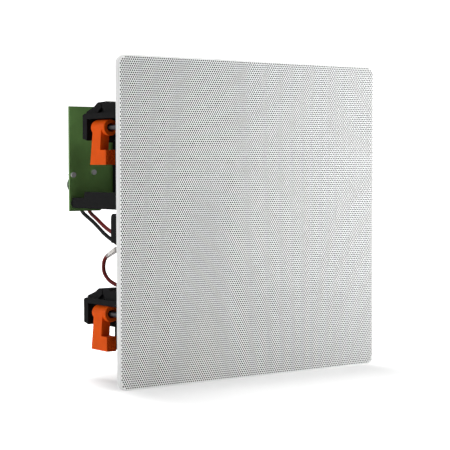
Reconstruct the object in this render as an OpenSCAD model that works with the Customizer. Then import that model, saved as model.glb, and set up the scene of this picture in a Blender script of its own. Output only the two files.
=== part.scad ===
// Square flush-mount ceiling speaker, standing as seen in use on a bench:
// X to the right, Z up, and the grille facing -Y.
// The origin is the centre of the flange's sealing face, which meets the ceiling.

/* [Grille] */
// How far the grille reaches past the frame's body, on each side
flange_lip = 13; // [11.5:0.5:18]
// Depth of the grille's folded edge
grille_depth = 4.4; // [4:0.1:4.8]
// Thickness of the grille's steel sheet
grille_t = 0.8; // [0.6:0.05:1]
// Corner radius of the grille
grille_r = 6; // [4:0.5:10]
// Radius of the fold round the grille's front
fold_r = 1; // [0.9:0.1:2]
// Diameter of one hole
hole_d = 6.4; // [3:0.1:8]
// Spacing of the staggered holes
hole_pitch = 12.4; // [11:0.1:16]
// Thickness of the cloth behind the grille
cloth_t = 0.4; // [0.3:0.05:0.6]

/* [Frame] */
// From the woofer's rim to the outside of the body that passes through the ceiling
rim_gap = 12; // [11:0.5:18]
// Thickness of the frame's walls
wall_t = 2.4; // [1.8:0.1:3]
// Depth of the frame's walls behind the ceiling's face
body_depth = 15; // [13:0.5:18]
// Thickness of the flange
flange_t = 2.8; // [2.4:0.1:3.2]
// Thickness of the foam gasket under the flange
gasket_t = 1; // [0.6:0.1:1.6]
// Width of the foam gasket
gasket_w = 8; // [6:0.5:9]
// Depth of the baffle's front face
baffle_y = 7.2; // [6.8:0.1:8]
// Thickness of the baffle
baffle_t = 3; // [2.4:0.1:3.2]
// Diameter of the small magnets that hold the grille
magnet_d = 8; // [5:0.5:9]
// Thickness of the small magnets
magnet_t = 2; // [1.2:0.1:2.2]

/* [Clamps] */
// Distance of the clamp screws from the middle, up and down
clamp_z = 66.5; // [60:0.5:72]
// Radius of the clamp's barrel
barrel_r = 5.8; // [5:0.1:6]
// Length of the clamp's barrel
barrel_l = 20.5; // [18:0.5:22]
// Length of the clamp from the screw to its end
arm_l = 26.5; // [24:0.5:30]
// Thickness of the clamp's foot, along its arm
foot_h = 10.5; // [8:0.5:13]
// Width of the clamp's foot
foot_w = 7.9; // [6.5:0.1:9]
// Diameter of the clamp screws
screw_d = 4; // [3.5:0.1:4.5]
// Depth of the clamp towers
tower_depth = 66.5; // [60:0.5:74]
// Wall of the clamp towers
tower_t = 2.4; // [2:0.1:2.6]

/* [Woofer] */
// Width of the woofer's steel rim, outside the baffle's opening
rim_w = 10.2; // [9.4:0.2:12]
// Thickness of the woofer's pressed steel
basket_t = 1.2; // [1:0.1:1.4]
// Outer radius of the cone
cone_r = 66; // [60:0.5:74]
// Radius of the surround's roll
roll_r = 5.2; // [4.6:0.1:5.8]
// Depth of the cone
cone_depth = 27; // [22:0.5:29]
// Radius of the voice coil's former
coil_r = 12.9; // [12.5:0.1:13.4]
// Radius of the ferrite magnet
ferrite_r = 50; // [45:0.5:54]
// Thickness of the ferrite magnet
ferrite_t = 18; // [14:0.5:19]
// Radius of the tweeter's housing
tweeter_r = 20; // [17:0.5:22]

/* [Crossover] */
// Width of the circuit board
board_w = 120; // [100:1:140]
// Height of the circuit board
board_h = 77.5; // [70:0.5:82]
// Thickness of the circuit board
board_t = 1.6; // [1.2:0.1:2]
// Height of the board's lower edge above the middle
board_z = 5.7; // [5:0.1:6.4]
// Height of the bracket's arm beside the frame
arm_h = 12; // [10:0.1:14]
// Thickness of the bracket's arm
arm_t = 3; // [2.4:0.1:3.4]

/* [Input terminal] */
// Width of the terminal block
block_w = 16; // [15.6:0.1:17]
// Height of the terminal block
block_h = 20.8; // [19:0.1:23]
// Length of the terminal block behind the baffle
block_l = 26.8; // [24:0.2:29]
// Diameter of the holes for the supply wires
wire_hole_d = 3.2; // [2.8:0.1:3.6]
// Diameter of the leads over their insulation
lead_d = 2.8; // [2:0.1:2.8]

/* [Hidden] */

// Clearances
seat_gap = 0.3;
run_gap = 0.06;
swing_gap = 0.6;
edge_gap = 0.4;

// Levels along the depth, worked back from the sealing face at zero
flange_back = -gasket_t;
flange_front = flange_back - flange_t;
cloth_front = flange_front - cloth_t;
grille_front = cloth_front - grille_t;
baffle_back = baffle_y + baffle_t;
rim_front = baffle_y - basket_t;

// Widths of the frame
opening_r = cone_r + 2 * roll_r + 3.4;
rim_r = opening_r + rim_w;
body_w = 2 * (rim_r + rim_gap);
grille_w = body_w + 2 * flange_lip;
flange_w = grille_w - 2 * grille_t - 2 * edge_gap;
flange_r = grille_r - grille_t - edge_gap;
body_r = 8;
well_w = body_w - 2 * wall_t;
gasket_inner = body_w + 2;
magnet_place = (flange_w + body_w) / 4;

// Places of the clamps and of their towers
clamp_x = body_w / 2 - barrel_r - swing_gap;
tower_in = barrel_r + swing_gap;
roof_t = tower_t + 1.6;
tower_roof = tower_in + roof_t;
tower_out = body_w / 2 - clamp_x;
tower_foot = -10.5;
tower_back_t = tower_t + 3.6;
buttress_inset = 2;
bush_head = 1.4;
park_gap = 0.8;
barrel_y = tower_depth - tower_back_t - park_gap - bush_head - seat_gap - barrel_l;
guard_y = barrel_y + 7;
foot_reach = 2.5;

// Woofer levels
landing_y = rim_front + cone_depth + 4;
gap_y = landing_y + 14;
plate_t = 6;
yoke_t = 6;
ferrite_y = gap_y + plate_t;
yoke_y = ferrite_y + ferrite_t;
motor_back = yoke_y + yoke_t;
pole_r = coil_r - 1.1;
gap_r = coil_r + 1.3;
former_t = 0.4;
landing_r = 40;
neck_r = 46;
window_w = 30;
screw_circle = rim_r - 4;
woofer_screw_count = 8;
woofer_screw_r = 1.5;
post_r = 4;

// Crossover levels
motor_gap = 3;
standoff_l = 2;
bar_t = arm_t;
bar_y = motor_back + motor_gap + bar_t;
board_y = bar_y + standoff_l;
board_back = board_y + board_t;
board_x = body_w / 2 - 1.7;
arm_z = board_z + 2.6;
arm_x = well_w / 2 - seat_gap;

// Sizes of the parts on the board
large_coil_r = 15;
large_coil_h = 18;
small_coil_r = 6;
small_coil_h = 12;
can_r = 6.5;
can_l = 28;
large_can_r = 8;
large_can_l = 30;
resistor_size = [25, 8.5, 9];

// Input terminal places
block_x = well_w / 2 - 3.1;
block_y = baffle_back + block_l;
block_z = 5.3;
block_low = block_z - block_h;

// A square with round corners, centred
module round_square(w, r) {
    hull() {
        for (sx = [-1, 1]) {
            for (sz = [-1, 1]) {
                translate([sx * (w / 2 - r), sz * (w / 2 - r)]) circle(r = r, $fn = 32);
            }
        }
    }
}

// A flat outline, drawn in X and Z, given a thickness backwards from depth y
module slab(y, t) {
    translate([0, y + t, 0]) rotate([90, 0, 0]) linear_extrude(t) children();
}

// A profile of radius and depth, turned round the speaker's axis
module turned(fn = 96) {
    rotate([-90, 0, 0]) rotate_extrude($fn = fn) children();
}

// A rod along the depth
module rod(r, y, l, fn = 40) {
    translate([0, y, 0]) rotate([-90, 0, 0]) cylinder(r = r, h = l, $fn = fn);
}

// A block given by its low corner and its size
module block(low, size) {
    translate(low) cube(size);
}

// Grille

// Section of the folded edge, from a corner's centre outwards
module edge_section() {
    inner_f = fold_r - grille_t;
    middle = grille_r - fold_r;
    polygon(concat(
        [[0, 0]],
        [for (a = [0:15:90]) [middle + fold_r * sin(a), fold_r * (1 - cos(a))]],
        [[grille_r, grille_depth], [grille_r - grille_t, grille_depth]],
        [for (a = [90:-15:0]) [middle + inner_f * sin(a), fold_r - inner_f * cos(a)]],
        [[0, grille_t]]
    ));
}

// The sheet before it is pierced: a flat middle, four folded edges and four corners
module grille_sheet() {
    straight = grille_w - 2 * grille_r;
    slab(grille_front, grille_t) square(straight, center = true);
    for (k = [0:3]) {
        rotate([0, 90 * k, 0]) translate([straight / 2, grille_front, -straight / 2]) {
            linear_extrude(straight) edge_section();
            rotate([-90, 0, 0]) rotate_extrude(angle = 90, $fn = 64) edge_section();
        }
    }
}

module grille() {
    row_h = hole_pitch * sqrt(3) / 2;
    field = grille_w / 2 - grille_r - hole_d / 2;
    rows = floor(field / row_h);
    color("whitesmoke") difference() {
        grille_sheet();
        for (row = [-rows:rows]) {
            shift = abs(row) % 2 * hole_pitch / 2;
            columns = floor((field - shift) / hole_pitch);
            for (column = [-columns - abs(row) % 2:columns]) {
                translate([shift + column * hole_pitch, 0, row * row_h])
                    rod(hole_d / 2, grille_front - 1, grille_t + 2, 20);
            }
        }
    }
}

module acoustic_cloth() {
    color("black") slab(cloth_front, cloth_t) round_square(flange_w - 2, flange_r);
}

// Places of the small magnets, at the corners and the middles of the flange
function magnet_places() = [
    for (i = [-1:1]) for (j = [-1:1]) if (i != 0 || j != 0) [i * magnet_place, j * magnet_place]
];

module grille_magnets() {
    color("silver") for (p = magnet_places()) {
        translate([p[0], 0, p[1]]) rod(magnet_d / 2, flange_front, magnet_t, 32);
    }
}

// Mounting frame, one moulding with its four clamp towers

// Side of a tower's buttress, drawn in depth and height from its screw
module tower_side() {
    polygon([
        [baffle_back - 1, tower_roof - 1], [baffle_back - 1, tower_roof + 6.2],
        [barrel_y - 5.5, tower_roof + 6.6], [barrel_y - 1.5, tower_roof + 8],
        [barrel_y + 11, tower_roof + 7.6], [barrel_y + 15.7, tower_roof + 4.9],
        [tower_depth - 3, tower_roof + 1.6], [tower_depth, tower_roof - 1]
    ]);
}

// An outline in depth and height, given a thickness to the right from x
module side_slab(x, t) {
    translate([x, 0, 0]) rotate([90, 0, 90]) linear_extrude(t) children();
}

// One tower, seen as the left ones stand, with its screw's axis at the middle
module tower() {
    back_y = tower_depth - tower_back_t;
    span = tower_out + tower_in + tower_t;
    length = tower_depth - baffle_back + 1;
    difference() {
        union() {
            // Roof, inner wall and back wall
            block([-tower_out, baffle_back - 1, tower_in], [span, length, roof_t]);
            block([tower_in, baffle_back - 1, tower_foot], [tower_t, length, tower_roof - tower_foot]);
            block([-tower_out, back_y, tower_foot], [span, tower_back_t, tower_roof - tower_foot]);
            // Guard beside the parked clamp
            block([tower_in, baffle_back - 1, -arm_l], [tower_t, guard_y - baffle_back + 1, arm_l]);
            side_slab(buttress_inset - tower_out, span - buttress_inset) tower_side();
        }
        // Hollow of the buttress, open inwards
        side_slab(buttress_inset - tower_out + tower_t + 1.2, span) buttress_hollow();
        rod(screw_d / 2 + run_gap, back_y - 1, tower_back_t + 2);
        // Slanted lower edge at the back
        side_slab(-tower_out - 1, span + 2) polygon([
            [tower_depth - 12, tower_foot - 0.01], [tower_depth + 1, tower_foot - 0.01],
            [tower_depth + 1, tower_foot + 3.1]
        ]);
        // Chamfer along the roof's back edge
        side_slab(-tower_out - 1, span + 2) polygon([
            [tower_depth - 3, tower_roof + 0.01], [tower_depth + 1, tower_roof + 0.01],
            [tower_depth + 1, tower_roof - 1.6]
        ]);
        // Three-cornered recess between the two lobes of the buttress
        side_slab(buttress_inset - tower_out - 1, 3.2) polygon([
            [barrel_y + 1.3, tower_roof], [barrel_y + 12, tower_roof], [barrel_y + 6.2, tower_roof + 3.7],
            [barrel_y + 7.4, tower_roof + 9], [barrel_y + 6.4, tower_roof + 9], [barrel_y + 5, tower_roof + 3.7]
        ]);
    }
}

// Inner outline of the buttress, inside its side, its top and its ends
module buttress_hollow() {
    polygon([
        [baffle_back + tower_t, tower_roof - 1], [baffle_back + tower_t, tower_roof + 3.6],
        [barrel_y - 4.5, tower_roof + 4], [barrel_y - 1, tower_roof + 5.4], [barrel_y + 10.4, tower_roof + 5],
        [barrel_y + 14, tower_roof + 2.4], [barrel_y + 14, tower_roof - 1]
    ]);
}

// Puts a left tower's shape at each of the four places
module at_clamp(side, height) {
    translate([side * clamp_x, 0, height * clamp_z]) rotate([0, side < 0 ? 0 : 180, 0]) children();
}

module at_each_clamp() {
    for (side = [-1, 1]) {
        for (height = [-1, 1]) {
            at_clamp(side, height) children();
        }
    }
}

module frame_tray() {
    difference() {
        union() {
            slab(flange_front, flange_t) round_square(flange_w, flange_r);
            slab(flange_back - 0.1, body_depth - flange_back + 0.1) round_square(body_w, body_r);
        }
        slab(flange_front - 1, baffle_y - flange_front + 1) round_square(well_w, body_r - wall_t);
        slab(baffle_back, body_depth) round_square(well_w, body_r - wall_t);
        rod(opening_r, 0, body_depth + 5, 120);
    }
}

module mounting_frame() {
    color([0.13, 0.13, 0.14]) difference() {
        union() {
            frame_tray();
            at_each_clamp() tower();
            woofer_bosses();
        }
        // The side walls are open where the clamps swing out and travel
        at_each_clamp() block([-tower_out - 1, baffle_back, -arm_l - 1.5],
            [tower_out + tower_in + 0.99, body_depth, arm_l + 1.5 + tower_in]);
        at_each_clamp() rod(screw_d / 2 + run_gap, 0, baffle_back + 1);
        for (p = magnet_places()) {
            translate([p[0], 0, p[1]]) rod(magnet_d / 2, flange_front - 1, magnet_t + 1, 32);
        }
        woofer_screw_places() rod(woofer_screw_r, 0, body_depth + 5, 24);
        bracket_screw_places() rod(bracket_screw_r, baffle_y + 1, baffle_t, 24);
    }
}

module woofer_screw_places() {
    for (k = [0:woofer_screw_count - 1]) {
        rotate([0, 22.5 + k * 360 / woofer_screw_count, 0]) translate([screw_circle, 0, 0]) children();
    }
}

module woofer_bosses() {
    woofer_screw_places() rod(4, baffle_back - 1, 4.6, 32);
}

module flange_gasket() {
    color([0.2, 0.2, 0.21]) difference() {
        slab(flange_back, gasket_t) round_square(gasket_inner + 2 * gasket_w, body_r + 4);
        slab(flange_back - 1, gasket_t + 2) round_square(gasket_inner, body_r + 1);
    }
}

// Woofer, turned round the speaker's axis

module woofer_basket() {
    leg_y = landing_y - 2;
    color([0.16, 0.16, 0.17]) difference() {
        turned() polygon([
            [opening_r - 3.3, rim_front], [rim_r, rim_front], [rim_r, rim_front + basket_t],
            [opening_r - 0.6, rim_front + basket_t], [neck_r + 2, leg_y], [neck_r + 2, landing_y + 8],
            [ferrite_r - 4, gap_y], [coil_r + 8, gap_y], [coil_r + 8, gap_y - basket_t],
            [ferrite_r - 6, gap_y - basket_t], [neck_r + 0.4, landing_y + 7], [neck_r + 0.4, landing_y + 1.2],
            [landing_r - 3, landing_y + 1.2], [landing_r - 3, landing_y],
            [neck_r + 0.4, landing_y], [neck_r + 0.4, leg_y - 1], [opening_r - 3, rim_front + basket_t + 1]
        ]);
        // Windows between the legs
        for (k = [0:5]) {
            rotate([0, terminal_turn + 30 + 60 * k, 0]) block([neck_r + 4.5, rim_front + 7, -window_w / 2],
                [opening_r, landing_y - rim_front - 10, window_w]);
        }
        woofer_screw_places() rod(woofer_screw_r + 0.3, rim_front - 1, basket_t + 2, 24);
    }
}

module woofer_gasket() {
    inner = opening_r - 2.8;
    seat = opening_r + 0.7;
    outer = opening_r + 1.8;
    color([0.1, 0.1, 0.1]) turned() polygon([
        [inner, rim_front - 2.2], [outer, rim_front - 2.2], [outer, rim_front],
        [seat, rim_front], [seat, rim_front - 0.6], [inner, rim_front - 0.6]
    ]);
}

module woofer_screws() {
    color("silver") woofer_screw_places() {
        rod(woofer_screw_r, rim_front, 9.4, 24);
        difference() {
            rod(3.2, rim_front - 2, 2, 32);
            translate([0, rim_front - 2, 0]) for (a = [0, 90]) {
                rotate([0, a, 0]) cube([3.6, 2.4, 0.8], center = true);
            }
        }
    }
}

module surround() {
    roll_x = cone_r + roll_r + 0.4;
    lip_w = opening_r + 0.7 - (cone_r - 4);
    color([0.09, 0.09, 0.09]) turned() difference() {
        union() {
            translate([roll_x, rim_front - 0.6]) circle(r = roll_r, $fn = 48);
            translate([cone_r - 4, rim_front - 0.6]) square([lip_w, 0.6]);
        }
        translate([roll_x, rim_front - 0.6]) circle(r = roll_r - 0.6, $fn = 48);
        translate([cone_r - 5, rim_front]) square([lip_w + 10, roll_r + 1]);
    }
}

module cone() {
    neck_y = rim_front + cone_depth;
    color([0.17, 0.17, 0.18]) turned() polygon([
        [cone_r, rim_front], [cone_r, rim_front + 0.7], [cone_r - 4.3, rim_front + 0.7],
        [cone_r * 0.62, rim_front + cone_depth * 0.5], [coil_r + 4, neck_y], [coil_r, neck_y + 2],
        [coil_r, neck_y + 1], [coil_r + 3.6, neck_y - 1],
        [cone_r * 0.62 - 0.6, rim_front + cone_depth * 0.5 - 0.5], [cone_r - 5, rim_front]
    ]);
}

module voice_coil() {
    coil_mid = gap_y + plate_t / 2;
    color([0.72, 0.45, 0.2]) turned(72) polygon([
        [coil_r - former_t, rim_front + cone_depth - 1], [coil_r, rim_front + cone_depth - 1],
        [coil_r, coil_mid - 7], [coil_r + 0.5, coil_mid - 7], [coil_r + 0.5, coil_mid + 7],
        [coil_r - former_t, coil_mid + 7]
    ]);
}

// Corrugated disc between the former and the basket's landing
module spider() {
    first_r = coil_r + 3;
    waves = 5;
    pitch = (landing_r - 1 - first_r) / waves;
    upper = [for (k = [0:2 * waves]) [first_r + k * pitch / 2, landing_y - 2.2 + (k % 2) * 1.4]];
    lower = [for (k = [2 * waves:-1:0]) [first_r + k * pitch / 2, landing_y - 1.8 + (k % 2) * 1.4]];
    color([0.75, 0.6, 0.3]) turned() polygon(concat(
        [[coil_r, landing_y - 1.4]], upper, [[landing_r + 2, landing_y - 0.4], [landing_r + 2, landing_y]],
        [[landing_r - 0.5, landing_y]], lower, [[coil_r, landing_y - 1]]
    ));
}

module top_plate() {
    color("silver") turned() translate([gap_r, gap_y]) square([ferrite_r - 2 - gap_r, plate_t]);
}

module ferrite_magnet() {
    color([0.22, 0.22, 0.23]) turned() translate([gap_r + 6, ferrite_y])
        square([ferrite_r - gap_r - 6, ferrite_t]);
}

module yoke() {
    color("silver") turned() polygon([
        [post_r, gap_y - 0.5], [pole_r - 0.8, gap_y - 0.5], [pole_r, gap_y + 0.3], [pole_r, yoke_y],
        [ferrite_r - 3, yoke_y], [ferrite_r - 2, yoke_y + 1], [ferrite_r - 2, motor_back],
        [post_r + 4, motor_back], [post_r, motor_back - 4]
    ]);
}

module tweeter_post() {
    color([0.1, 0.1, 0.1]) turned(48) polygon([
        [0, tweeter_back], [post_r + 4, tweeter_back], [post_r + 4, tweeter_back + 3],
        [post_r, tweeter_back + 7], [post_r, motor_back - 5], [0, motor_back - 5]
    ]);
}

tweeter_front = flange_front + 4.4;
tweeter_back = tweeter_front + 12;
dome_r = 10;

module tweeter_housing() {
    color([0.12, 0.12, 0.12]) turned(72) polygon([
        [0, tweeter_back], [tweeter_r - 6, tweeter_back], [tweeter_r - 1, tweeter_back - 4],
        [tweeter_r, tweeter_back - 7], [tweeter_r, tweeter_front + 1.6], [tweeter_r - 1.4, tweeter_front],
        [tweeter_r - 3, tweeter_front + 0.3], [dome_r + 2.6, tweeter_front + 4.6],
        [dome_r + 2.6, tweeter_front + 6], [0, tweeter_front + 6]
    ]);
}

module tweeter_dome() {
    ball_r = 12.5;
    sink = sqrt(ball_r * ball_r - dome_r * dome_r);
    color([0.75, 0.76, 0.78]) turned(72) difference() {
        union() {
            intersection() {
                translate([0, tweeter_front + 5.2 + sink]) circle(r = ball_r, $fn = 96);
                translate([0, tweeter_front]) square([dome_r, 5.2]);
            }
            translate([0, tweeter_front + 5.2]) square([dome_r + 2.4, 0.8]);
        }
        intersection() {
            translate([0, tweeter_front + 5.2 + sink]) circle(r = ball_r - 0.4, $fn = 96);
            translate([0, tweeter_front]) square([dome_r - 0.4, 6.2]);
        }
        translate([-20, 0]) square([20, 40]);
    }
}

// Three curved ribs and a small disc in front of the dome
module tweeter_guard() {
    color([0.1, 0.1, 0.1]) {
        rod(3, tweeter_front - 1, 1.2, 32);
        for (k = [0:2]) {
            rotate([0, 120 * k + 30, 0]) block([2, tweeter_front - 0.8, -0.7], [tweeter_r - 4.5, 0.9, 1.4]);
        }
    }
}

// Terminal board on a leg of the basket, with two solder lugs
terminal_turn = 141;
leg_run = landing_y - 2 - baffle_y;
leg_drop = opening_r - 0.6 - neck_r - 2;
leg_tilt = atan2(leg_drop, leg_run);
terminal_y = baffle_y + leg_run / 2;

module at_leg() {
    rotate([0, terminal_turn, 0])
        translate([opening_r - 0.6 - leg_drop * (terminal_y - baffle_y) / leg_run, terminal_y, 0])
            rotate([0, 0, leg_tilt]) children();
}

module woofer_terminal() {
    color([0.35, 0.25, 0.16]) at_leg() {
        block([0.05, -7, -9], [1.4, 14, 18]);
        for (s = [-1, 1]) {
            block([1.45, -13, s * 5 - 1.6], [0.6, 17, 3.2]);
        }
    }
}

// Crossover

bracket_screw_r = 1.4;
foot_x = arm_x - 8.8;
bar_h = arm_h * 0.62;
upright_w = 8;

module bracket_screw_places() {
    for (s = [-1, 1]) {
        translate([s * foot_x, 0, arm_z + arm_h / 2]) children();
    }
}

// One arm of the bracket: a foot on the baffle, and an arm that narrows at the board
module bracket_arm(side) {
    step_y = board_y - 18.7;
    mirror([side > 0 ? 1 : 0, 0, 0]) {
        side_slab(-arm_x, arm_t) polygon([
            [baffle_back, arm_z], [bar_y, arm_z], [bar_y, arm_z + bar_h], [step_y, arm_z + bar_h],
            [step_y - 1.5, arm_z + arm_h], [baffle_back, arm_z + arm_h]
        ]);
        block([-arm_x + arm_t - 0.5, baffle_back, arm_z], [12.5, 3, arm_h]);
    }
}

module board_standoffs(r, y, l) {
    board_fixing_places() rod(r, y, l, 32);
}

module crossover_bracket() {
    bar_front = bar_y - bar_t;
    color([0.15, 0.15, 0.16]) difference() {
        union() {
            bracket_arm(-1);
            bracket_arm(1);
            block([-arm_x, bar_front, arm_z], [2 * arm_x, bar_t, bar_h]);
            // Upright that steadies the board's upper half
            block([upright_x - upright_w / 2, bar_front, arm_z],
                [upright_w, bar_t, upright_z + upright_w / 2 - arm_z]);
            board_standoffs(3, bar_y - 0.5, board_y - bar_y + 0.5);
        }
        bracket_screw_places() rod(bracket_screw_r + 0.2, baffle_back - 1, 5, 24);
        board_standoffs(board_screw_r, bar_front - 1, board_y - bar_front + 2);
    }
}

module bracket_screws() {
    color("silver") bracket_screw_places() {
        rod(bracket_screw_r, baffle_y + 1, baffle_t + 2, 24);
        rod(2.8, baffle_back + 3, 1.8, 32);
    }
}

board_screw_r = 1.2;
upright_x = -board_x + 40;
upright_z = board_z + board_h - 6;

module board_fixing_places() {
    for (x = [-board_x + 4, board_w - board_x - 6]) {
        translate([x, 0, arm_z + 3.4]) children();
    }
    translate([upright_x, 0, upright_z]) children();
}

module crossover_board() {
    color([0.2, 0.42, 0.24]) difference() {
        block([-board_x, board_y, board_z], [board_w, board_t, board_h]);
        // The lower edge stands back to the right of the leads
        side_cut = board_x - lead_side_w;
        slab(board_y - 1, board_t + 2) polygon([
            [-side_cut, board_z - 1], [-side_cut + 2, board_z + 1], [board_w, board_z + 1], [board_w, board_z - 1]
        ]);
        board_fixing_places() rod(board_screw_r, board_y - 1, board_t + 2, 24);
        coil_screw_places() rod(coil_screw_r, board_y - 1, board_t + 2, 24);
    }
}

coil_screw_z = board_z + 26.9;
coil_screw_r = 1.5;
lead_side_w = 25;

// Two screws whose heads show on the board's front
module coil_screw_places() {
    translate([-board_x + 2.8, 0, coil_screw_z]) children();
    translate([-board_x + 20.4, 0, coil_screw_z + 1.9]) children();
}

module board_screws() {
    color("silver") {
        board_fixing_places() {
            rod(board_screw_r, bar_y - 2, board_back - bar_y + 2, 24);
            rod(2.6, board_back, 1.7, 32);
        }
        coil_screw_places() {
            rod(coil_screw_r, board_y, board_t + 2.5, 24);
            rod(2, board_y - 1.3, 1.3, 32);
            rod(2.4, board_back, 1.6, 6);
        }
    }
}

// An air-cored coil on a bobbin, standing on the board's back
module inductor(x, z, r, h) {
    translate([x, board_back, z]) {
        rod(r, 0, 1, 48);
        rod(r, h - 1, 1, 48);
        difference() {
            rod(r - 0.8, 0.5, h - 1.5, 48);
            rod(r * 0.4, 1, h, 32);
        }
    }
}

module large_inductor() {
    color([0.7, 0.4, 0.18]) inductor(-board_x + 61, board_z + 52, large_coil_r, large_coil_h);
}

module small_inductor() {
    color([0.4, 0.5, 0.42]) inductor(-board_x + 11.2, board_z + 19.5, small_coil_r, small_coil_h);
}

// Cans that lie on the board's back, as [middle x, middle z, radius, length]
function capacitor_sizes() = [
    [-board_x + 23.5, board_z + 60, can_r, can_l], [-board_x + 23.5, board_z + 44.5, can_r, can_l],
    [-board_x + 98, board_z + 56, large_can_r, large_can_l]
];

module capacitors() {
    color([0.15, 0.2, 0.35]) for (c = capacitor_sizes()) {
        translate([c[0] - c[3] / 2, board_back + c[2], c[1]]) rotate([0, 90, 0])
            cylinder(r = c[2], h = c[3], $fn = 40);
    }
}

module resistors() {
    color([0.88, 0.87, 0.83]) for (k = [0, 1]) {
        block([-board_x + 84, board_back, board_z + 14 + 14 * k], resistor_size);
    }
}

// Small header behind the board's lower edge, where the leads leave downwards
lead_black_x = -board_x + 12.9;
lead_red_x = -board_x + 19.3;
header_z = board_z + 3.8;
header_t = 6.8;

module lead_header() {
    color([0.85, 0.84, 0.78]) block([lead_black_x - 3, board_back, header_z],
        [lead_red_x - lead_black_x + 6, header_t, 5.6]);
}

// Input terminal

lever_x = [-block_x + 4.4, -block_x + 11.6];
lever_w = 5.2;
lever_z = -2.5;
lever_pin_z = block_z - 3.6;
wire_hole_z = block_low + 5.5;
tab_x = -block_x + 3.5;
tab_y = baffle_back + 15.8;
tab_tilt = 23;

module input_terminal() {
    corner = 3.5;
    color([0.1, 0.1, 0.11]) difference() {
        union() {
            side_slab(-block_x, block_w) hull() {
                translate([baffle_back, block_low]) square([4, block_h]);
                translate([block_y - corner, block_z - corner]) circle(r = corner, $fn = 32);
                translate([block_y - 1, block_low + 1]) circle(r = 1, $fn = 32);
            }
        }
        for (x = lever_x) {
            translate([x, 0, wire_hole_z]) rod(wire_hole_d / 2, block_y - 12, 13, 32);
            block([x - lever_w / 2 - seat_gap, block_y - 7, lever_z - 4],
                [lever_w + 2 * seat_gap, 8, block_z - lever_z + 5]);
            lever_axle(x, trunnion_r + run_gap, 1.1);
        }
    }
}

trunnion_r = 1.1;

// A short axle through a lever, longer than its pad by over at each end
module lever_axle(x, r, over) {
    translate([x - lever_w / 2 - over, block_y - 3.4, lever_pin_z]) rotate([0, 90, 0])
        cylinder(r = r, h = lever_w + 2 * over, $fn = 32);
}

// A spring lever: a pad that is pressed in, turning on its trunnions
module lever(x) {
    block([x - lever_w / 2, block_y - 4.6, lever_z - 1.6], [lever_w, 3, lever_pin_z - lever_z + 1.6]);
    block([x - lever_w / 2, block_y - 1.8, lever_z - 1.6], [lever_w, 3.6, 3]);
    lever_axle(x, 2.2, 0);
    lever_axle(x, trunnion_r, 0.9);
}

module lever_red() {
    color([0.7, 0.08, 0.07]) lever(lever_x[0]);
}

module lever_black() {
    color([0.08, 0.08, 0.08]) lever(lever_x[1]);
}

// Brings a shape drawn along the depth onto the tilted tab
module at_tab() {
    translate([tab_x, tab_y, block_low]) rotate([-tab_tilt, 0, 0]) children();
}

tab_w = 2.8;
tab_t = 0.8;
spade_w = tab_w + 1.2;
spade_t = tab_t + 1.6;
sleeve_w = spade_w + 0.6;
sleeve_t = spade_t + 1.2;
spade_y = 9.5;
spade_l = 10.5;
sleeve_l = 14;
grip_l = 6.1;

// A bar along the tab's line, centred on the tab's thickness
module tab_bar(width, thick, y, l) {
    at_tab() block([-width / 2, y, -0.8 - thick / 2], [width, l, thick]);
}

module terminal_tab() {
    color("silver") {
        tab_bar(tab_w, tab_t, -0.4, spade_y + grip_l);
        block([tab_x - tab_w / 2, tab_y - 0.8, block_low - 2], [tab_w, 0.8, 2]);
    }
}

module spade_connector() {
    color([0.8, 0.78, 0.7]) difference() {
        tab_bar(spade_w, spade_t, spade_y, spade_l);
        tab_bar(tab_w, tab_t, spade_y - 1, grip_l + 1);
    }
}

module spade_sleeve() {
    color([0.9, 0.9, 0.88, 0.4]) difference() {
        tab_bar(sleeve_w, sleeve_t, spade_y, sleeve_l);
        tab_bar(spade_w, spade_t, spade_y - 1, spade_l + 1);
        at_tab() translate([0, spade_y + spade_l - 1, -0.8]) rotate([-90, 0, 0])
            cylinder(d = lead_d + 0.2, h = sleeve_l, $fn = 24);
    }
}

// Leads

// Points of each lead, chosen by hand
black_route = [
    [-87.4, 95, 9.5], [-87.4, 95, 8.6], [-87.4, 94.3, 6.6], [-87.4, 92.9, 5], [-87.4, 91, 3.8],
    [-87.3, 86, 1.5], [-87.3, 79.5, -1.2], [-87.4, 73.2, -4.1], [-87.7, 67, -7], [-88, 60.8, -10],
    [-87.7, 54.5, -12.8], [-87.1, 48.2, -15.3], [-86.6, 42, -17.7], [-86.4, 36, -19.7],
    [-86.4, 31.5, -21], [-86.4, 28.6, -21.4], [-86.4, 25.9, -20.6], [-86.4, 24, -18.5],
    [-86.4, 23.4, -16.6], [-86.4, 23.4, -15.5]
];
red_route = [
    [-81, 95, 9.5], [-81, 95, 8.7], [-81, 94.4, 6.7], [-81.1, 93, 5], [-81.3, 91, 3.8],
    [-81.8, 87.4, 2.4], [-82.5, 83.5, 1.3], [-83.3, 79.4, 0.1], [-84.2, 75, -1.2], [-85.1, 70.5, -2.6],
    [-86, 66, -4], [-86.8, 61.5, -5.3], [-87.5, 57, -6.6], [-88.1, 52.5, -7.8], [-88.4, 48, -8.9],
    [-88.5, 43.5, -9.7], [-88.5, 40, -10], [-88.5, 37, -10]
];
woofer_route = [
    [-93, 44.3, -24.1], [-93, 47.3, -25.4], [-93, 49.4, -26.4], [-93, 51.4, -28.2], [-93, 52.8, -30.8],
    [-93, 53.3, -33.8], [-93, 52.6, -37], [-92.9, 50.4, -40], [-92.7, 47, -42.5], [-92.3, 43, -44.3],
    [-91.7, 38.5, -45.7], [-90.7, 34, -46.6], [-89.2, 30, -47.2], [-87, 26.4, -47.6],
    [-84, 23.2, -47.9], [-80.5, 20.5, -48.1], [-76.5, 18.2, -48], [-72.2, 16.3, -47.6],
    [-67.8, 15.2, -46.6], [-63.7, 15.3, -44.9], [-60.5, 17.3, -42.6], [-58, 19.6, -40.6]
];

function unit(v) = v / norm(v);

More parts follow.
